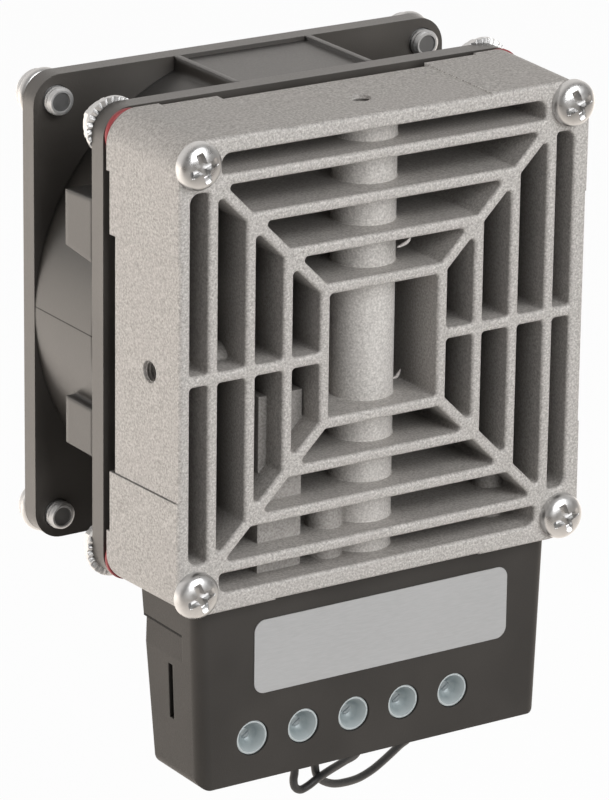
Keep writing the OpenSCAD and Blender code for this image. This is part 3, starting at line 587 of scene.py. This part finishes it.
def pan_head():
    """A cross-recess screw head as a height by radius and angle: a dome less a cross whose arms end in
    slopes and which is twice as deep in the middle; a ring closes it underneath."""
    share = np.concatenate([np.linspace(0, 0.7, 36), np.linspace(0.72, 1.0, 16)])
    angles = around(144)
    fall = np.cos(share * math.pi / 2)[:, None]
    radius = HEAD_R * np.sin(share * math.pi / 2)[:, None] * np.ones_like(angles)
    dome = HEAD_H * fall ** 0.55 * np.ones_like(angles)
    turn = angles - CROSS_TURN
    off = np.minimum(np.abs(np.sin(turn)) * radius, np.abs(np.cos(turn)) * radius)
    arm = np.clip((ARM_END - radius) / ARM_SLOPE, 0, 1)
    inside = np.clip((ARM_HALF - off) / ARM_WALL, 0, 1)
    height = dome - RECESS * (1 + fall ** 4) * arm * inside
    head = polar(radius, -height, angles)
    return np.concatenate([head, head[-1:] * (0.4, 1, 0.4)])


def threaded_bar(radius, start, end, pitch, depth):
    """A bar along Y whose radius falls by a triangle wave along a helix; both ends are closed."""
    angles = around(48)
    along = np.linspace(start, end, max(8, int((end - start) / (pitch / 8))))
    phase = along[:, None] / pitch - angles / TAU
    wave = np.abs((phase % 1.0) * 2 - 1)
    ring = polar(radius - depth * wave, along[:, None], angles)
    first, last = ring[:1] * (0, 1, 0), ring[-1:] * (0, 1, 0)
    return np.concatenate([first, ring, last])


def settle(made, node):
    """Hides the CAD node that a finished piece stands in for."""
    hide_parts(node)


def make_clamp_screws(material):
    """Four long screws through casting and fan flange: cross-recess head in front, thread behind."""
    end = SCREW_HIGH[1] - AXIS[1]
    bar = threaded_bar(radius=1.95 * MM, start=-0.1 * MM, end=end, pitch=0.7 * MM, depth=0.25 * MM)
    made = piece("clamp_screw_set", [repeated(part, CORNERS) for part in (pan_head(), bar)],
                 material, "heater")
    settle(made, "clamp_screws")


def make_guard_screws(material):
    """Four screws from the rear: a domed head behind the wire guard and a thread end in front that is
    chamfered at the rim and dished in the middle."""
    low, high = box("guard_screws")
    seat = high[1] - AXIS[1] - HEAD_H
    start = low[1] - AXIS[1]
    chamfer, tip = 0.4 * MM, 0.84
    head = pan_head() * (1, -1, 1) + (0, seat, 0)
    bar = threaded_bar(radius=2.4 * MM, start=start, end=seat + 0.1 * MM, pitch=0.8 * MM, depth=0.22 * MM)
    along = bar[1:-1, :, 1:2] - start
    bar[1:-1] *= np.where(np.arange(3) == 1, 1.0, np.minimum(1.0, tip + (1 - tip) * along / chamfer))
    dish = np.array([(0.0, 0.3), (0.78, 0.3), (0.86, 0.0)])[:, None]
    middle = bar[1] * (0, 1, 0)
    end = middle + (bar[1] - middle) * dish[..., :1] + (0, MM, 0) * dish[..., 1:]
    bar = np.concatenate([end, bar[1:]])
    made = piece("guard_screw_set", [repeated(part, CORNERS) for part in (head, bar)],
                 material, "heater")
    settle(made, "guard_screws")


def make_flange_nuts(material):
    """Four flange nuts as a radius by angle and depth: a hexagon under a coned end, over a round
    shoulder. The flange face toward the fan carries radial teeth out to the rim, a triangle wave of the
    angle."""
    low, high = box("clamp_nuts")
    start, end = low[1] - AXIS[1], high[1] - AXIS[1]
    tall = end - start
    rim = (high[0] - low[0]) / 2 - HOLE_HALF
    hexagon = 0.81 * rim
    bore_r, tooth_count, tooth_depth, tooth_base = 2.0 * MM, 24, 0.42 * MM, 0.03 * MM
    angles = around(192)
    flats = hexagon * math.cos(math.pi / 6) / np.cos((angles + math.pi / 6) % (math.pi / 3) - math.pi / 6)
    depth = np.concatenate([[0.03, 0.07, 0.23, 0.25, 0.27], np.linspace(0.34, 1.0, 12)]) * tall
    shoulder = np.interp(depth, np.array([0, 0.04, 0.06, 0.24, 0.26, 0.55, 0.56, 1]) * tall,
                         np.array([0.985, 0.99, 1, 1, 0.985, 0.73, 0, 0]) * rim)[:, None]
    cone = np.interp(depth, [0, tall], [hexagon + 1.2 * tall, 0.88 * hexagon])[:, None]
    radius = np.maximum(shoulder, np.minimum(flats, cone))
    teeth = tooth_depth * np.abs((angles / TAU * tooth_count % 1.0) * 2 - 1)
    face = np.array([0.42, 0.7, 0.74, 0.98])[:, None] * rim * np.ones_like(angles)
    front = np.array([0.0, 0.0, 1.0, 1.0])[:, None] * teeth
    bore = np.full_like(angles, bore_r)[None]
    radius = np.concatenate([face, radius, bore, face[:1]])
    along = np.concatenate([front, np.maximum(depth[:, None], teeth + tooth_base),
                            np.full_like(bore, tall), front[:1]])
    ring = polar(radius, start + along, angles)
    made = piece("flange_nut_set", [repeated(ring, CORNERS)], material, "heater")
    settle(made, "clamp_nuts")


def make_washers(material):
    """Four soft washers: a flat ring section whose corners are rounded, turned about each screw."""
    low, high = box("corner_washers")
    start, end = low[1] - AXIS[1], high[1] - AXIS[1]
    outer = (high[0] - low[0]) / 2 - HOLE_HALF
    inner, soft = 2.15 * MM, 0.3 * MM
    turn = np.linspace(-math.pi / 2, math.pi / 2, 9)
    along = np.concatenate([start + soft + soft * np.sin(turn[:5]), end - soft + soft * np.sin(turn[4:])])
    edge = outer - soft + soft * np.cos(np.concatenate([turn[:5], turn[4:]]))
    profile = np.stack([np.concatenate([[inner], edge, [inner, inner]]),
                        np.concatenate([[start], along, [end, start]])], -1)
    rings = repeated(turned(profile, around(64)), CORNERS)
    made = piece("soft_washer_set", [rings], material, "heater")
    settle(made, "corner_washers")


def make_cups(material, screw_material):
    """Five terminal cups: a bowl whose depth falls off with the radius, and a slotted disc at its
    bottom."""
    low, high = box("terminal_cups")
    outer = (high[2] - low[2]) / 2
    bowl_depth, disc_depth, disc_back = 2.6 * MM, 2.1 * MM, 2.62 * MM
    disc_r, disc_crown = 0.95 * MM, 0.15 * MM
    slot_depth, slot_half, slot_wall, slot_turn = 0.3 * MM, 0.22 * MM, 0.06 * MM, math.radians(35)
    middle = np.linspace(low[0] + outer, high[0] - outer, 5)
    places = np.stack([middle, np.full(5, low[1]), np.full(5, (low[2] + high[2]) / 2)], -1)
    share = np.linspace(0.0, 1.0, 24)
    bowl = np.stack([share * 0.88 * outer, bowl_depth * (1 - share ** 2.2)], -1)
    rim = np.array([(0.93, -0.02), (0.97, -0.02), (1.0, 0.1), (1.0, 0.6)]) * (outer, 0.5 * MM)
    back = np.array([(1.0, 1.0), (0.0, 1.0)]) * (outer, high[1] - low[1])
    angles = around(72)
    cups = repeated(turned(np.concatenate([bowl, rim + (0, 0.02 * MM), back]), angles), places)
    settle(piece("terminal_cup_set", [cups], material, "heater"), "terminal_cups")
    radius = np.linspace(0, disc_r, 20)[:, None] * np.ones_like(angles)
    off = np.abs(radius * np.sin(angles - slot_turn))
    slot = slot_depth * np.clip((slot_half - off) / slot_wall, 0, 1)
    disc = polar(radius, disc_depth + slot + disc_crown * (radius / disc_r) ** 6, angles)
    base = disc[-1:] * (1, 0, 1) + (0, disc_back, 0)
    solid = np.concatenate([disc, base, base * (0, 1, 0)])
    settle(piece("terminal_screw_set", [repeated(solid, places)], screw_material, "heater"),
           "terminal_screws")


def make_tapped_threads(material):
    """Thread turns inside both fixing holes: the hole's radius less a triangle wave along a helix."""
    pitch, crest, outer, skin = 0.7 * MM, 0.24 * MM, HOLE_R - 0.005 * MM, 0.01 * MM
    angles = around(64)
    along = np.linspace(0.25 * MM, 9.5 * MM, 160)
    wave = 1 - np.abs(((along[:, None] / pitch - angles / TAU) % 1.0) * 2 - 1)
    inside = outer - skin - crest * wave
    radius = np.concatenate([inside, np.full((2, len(angles)), outer), inside[:1]])
    deep = np.concatenate([along, [along[-1], along[0], along[0]]])[:, None] * np.ones_like(angles)
    a, b = radius * np.cos(angles), radius * np.sin(angles)
    grids = [np.stack([a, b, -deep], -1)[None], (np.stack([deep, a, b], -1) + SIDE_HOLE)[None]]
    made = piece("tapped_threads", grids, material, "heater")


FLASH = AXIS + MM * np.array([
    [(2.7, 1.0, 16.0), (3.9, 1.0, 16.3), (4.8, 0.9, 16.8), (5.3, 0.8, 17.9)],
    [(6.3, 7.5, -8.9), (7.4, 7.5, -8.7), (7.9, 7.5, -8.2), (8.3, 7.5, -7.5)]])
FLASH_R = 0.3 * MM
FLASH_TIP = 0.3


def make_flash(material):
    """Two crooked shreds of casting flash, on a rib and on the tube: tubes that bulge in the middle."""
    routes = [smooth_route(points, ROUTE_STEPS) for points in FLASH]
    share = np.linspace(FLASH_TIP, math.pi - FLASH_TIP, len(routes[0]))
    girth = FLASH_R * np.sin(share)[:, None, None]
    made = piece("casting_flash", [tube(route, girth, sides=10) for route in routes], material, "heater")


def read(items, field, width, kind=np.float64):
    """One field of a mesh's vertices, edges, faces or corners as an array."""
    values = np.empty(len(items) * width, dtype=kind)
    items.foreach_get(field, values)
    return values.reshape(-1, width) if width > 1 else values


def open_holes(mesh):
    """Widens both fixing holes from the thread's inner to its outer radius, seat and all."""
    thread_r, seat_r, seat_step, hole_depth = 1.8 * MM, 1.98 * MM, 0.06 * MM, 10.5 * MM
    place = read(mesh.vertices, "co", 3)
    for middle, along in ((np.zeros(3), 2), (SIDE_HOLE, 0)):
        off = place - middle
        depth = np.abs(off[:, along])
        off[:, along] = 0
        radius = np.linalg.norm(off, axis=1)
        chosen = (radius < seat_r) & (radius > MM) & (depth < hole_depth)
        wanted = np.where(radius < thread_r, HOLE_R, HOLE_R + seat_step)
        place[chosen] += off[chosen] * (wanted / np.maximum(radius, MM) - 1)[chosen, None]
    mesh.vertices.foreach_set("co", place.ravel())


def front_edges(mesh):
    """Numbers of the edges where the casting's front plane meets another face."""
    front = np.abs(read(mesh.vertices, "co", 3)[:, 1] - CAST_LOW[1]) < 1e-6
    ends = read(mesh.edges, "vertices", 2, np.int32)
    flat = read(mesh.polygons, "normal", 3)[:, 1] < -0.999
    corners = read(mesh.polygons, "loop_total", 1, np.int32)
    touching = np.zeros(len(mesh.edges))
    np.add.at(touching, read(mesh.loops, "edge_index", 1, np.int32), np.repeat(flat, corners))
    return np.flatnonzero(front[ends].all(1) & (touching == 1))


def even_normals(mesh, limit):
    """Corner normals: the area-weighted mean of the faces round a corner that turn by less than limit."""
    vertex = read(mesh.loops, "vertex_index", 1, np.int32)
    face = np.repeat(np.arange(len(mesh.polygons)), read(mesh.polygons, "loop_total", 1, np.int32))
    normal = read(mesh.polygons, "normal", 3)
    weighted = normal * read(mesh.polygons, "area", 1)[:, None]
    order = np.argsort(vertex, kind="stable")
    own = face[order]
    first = np.searchsorted(vertex[order], vertex[order])
    size = np.bincount(vertex)[vertex[order]]
    rank = np.arange(len(order)) - first
    total = np.zeros((len(order), 3))
    for shift in range(size.max()):
        other = own[first + (rank + shift) % size]
        near = (shift < size) & ((normal[own] * normal[other]).sum(1) > math.cos(limit))
        total += weighted[other] * near[:, None]
    result = np.empty_like(total)
    result[order] = total / np.maximum(np.linalg.norm(total, axis=1), 1e-20)[:, None]
    mesh.normals_split_custom_set(result.tolist())


FRONT_ROUND = 0.65 * MM
SOFT_TURN = math.radians(35)


def make_casting(material):
    """The casting with rounded front edges: a quarter round wherever the front plane meets another
    face."""
    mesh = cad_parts["heater_casting"].data.copy()
    mesh.name = "casting"
    work = bmesh.new()
    work.from_mesh(mesh)
    bmesh.ops.remove_doubles(work, verts=work.verts, dist=WELD)
    work.to_mesh(mesh)
    chosen = front_edges(mesh)
    work.edges.ensure_lookup_table()
    bmesh.ops.bevel(work, geom=[work.edges[i] for i in chosen], offset=FRONT_ROUND, offset_type="OFFSET",
                    segments=4, profile=0.5, affect="EDGES", clamp_overlap=False, loop_slide=False)
    work.to_mesh(mesh)
    work.free()
    open_holes(mesh)
    mesh.shade_smooth()
    even_normals(mesh, SOFT_TURN)
    mesh.materials.clear()
    mesh.materials.append(material)
    made = added("casting", mesh)
    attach(made, "heater")
    settle(made, "heater_casting")


def dress(nodes, material):
    """Gives CAD nodes a finish and leaves their shape as it is."""
    for name in nodes:
        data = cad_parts[name].data
        data.materials.clear()
        data.materials.append(material)


make_camera()
ZINC = zinc_finish("zinc_steel", level=0.6, roughness=0.33)
NUT_ZINC = zinc_finish("nut_zinc", level=0.66, roughness=0.36, metallic=0.8)
# guard screws: painted shade in the dish of each thread end and the middle of each head
DULL_ZINC_SHADED_DISH = zinc_finish("dull_zinc_shaded_dish", level=0.62, roughness=0.42, metallic=0.6, dish_shade_radius=1.55 * MM)
STEEL = zinc_finish("bare_steel", level=0.5, roughness=0.32)
LEAD_BLACK = plain_finish("lead_black", grey(0.018), grey(0.03), size=0.5 * MM, roughness=0.5)
make_lead("left_fan_lead", LEAD_LEFT, "fan_lead_left", LEAD_BLACK)
make_lead("right_fan_lead", LEAD_RIGHT, "fan_lead_right", LEAD_BLACK)

ALLOY = cast_alloy_finish()
make_casting(ALLOY)
make_tapped_threads(ALLOY)
make_flash(ALLOY)
make_clamp_screws(ZINC)
make_guard_screws(DULL_ZINC_SHADED_DISH)
make_flange_nuts(NUT_ZINC)
WASHER_RED = plain_finish("red_washer", (0.26, 0.035, 0.04, 1), (0.34, 0.055, 0.06, 1),
                          size=MM, roughness=0.5)
make_washers(WASHER_RED)
CUP_METAL = cup_finish()
CUP_SCREW = plain_finish("cup_screw", (0.22, 0.25, 0.26, 1), (0.30, 0.33, 0.34, 1),
                         size=0.6 * MM, roughness=0.4, metallic=0.3)
make_cups(CUP_METAL, CUP_SCREW)

FAN_BLACK = black_plastic_finish("fan_black", level=0.055, roughness=0.36, edge=0.12 * MM, ior=1.6)
# the duct is the fan frame's plastic with a darker level as painted shade, softer edges and its seam
DUCT_BLACK_SHADED = black_plastic_finish("duct_black_shaded", level=0.03, roughness=0.36, edge=1.2 * MM, ior=1.6,
                                  groove_and_shade_of=duct_seam)
# the terminal box's dark line is painted shade under the finger scoop's upper edge
BOX_BLACK = black_plastic_finish("box_black", level=0.03, roughness=0.55, edge=0.3 * MM, ior=1.42,
                                 groove_and_shade_of=scoop_edge_shade)
COPPER = plain_finish("copper_wire", (0.42, 0.16, 0.06, 1), (0.52, 0.22, 0.09, 1),
                      size=MM, roughness=0.4, metallic=1.0)
dress(["finger_guard", "terminal_clamps", "base_screws"], ZINC)
dress(["heating_cartridge", "fan_stator", "fan_bearings", "fan_shaft", "shaft_clip", "rotor_ring"], STEEL)
dress(["fan_front_flange", "fan_rear_flange", "fan_motor_mount", "fan_impeller"], FAN_BLACK)
dress(["fan_duct"], DUCT_BLACK_SHADED)
dress(["terminal_cover", "terminal_base", "thermal_limiter"], BOX_BLACK)
dress(["fan_windings"], COPPER)
dress(["blank_plate"], plate_finish())

make_world()
softbox("key_front", direction=(0.15, -0.86, 0.48), distance=1.0, size=0.8, watts=9.6)
side_light = softbox("side_left", direction=(-0.85, 0.35, -0.02), distance=0.8, size=0.5, watts=5.6,
                     tint=(1, 0.965, 0.93))
side_light.visible_glossy = False
make_floor()

bpy.context.scene.view_settings.view_transform = "Standard"
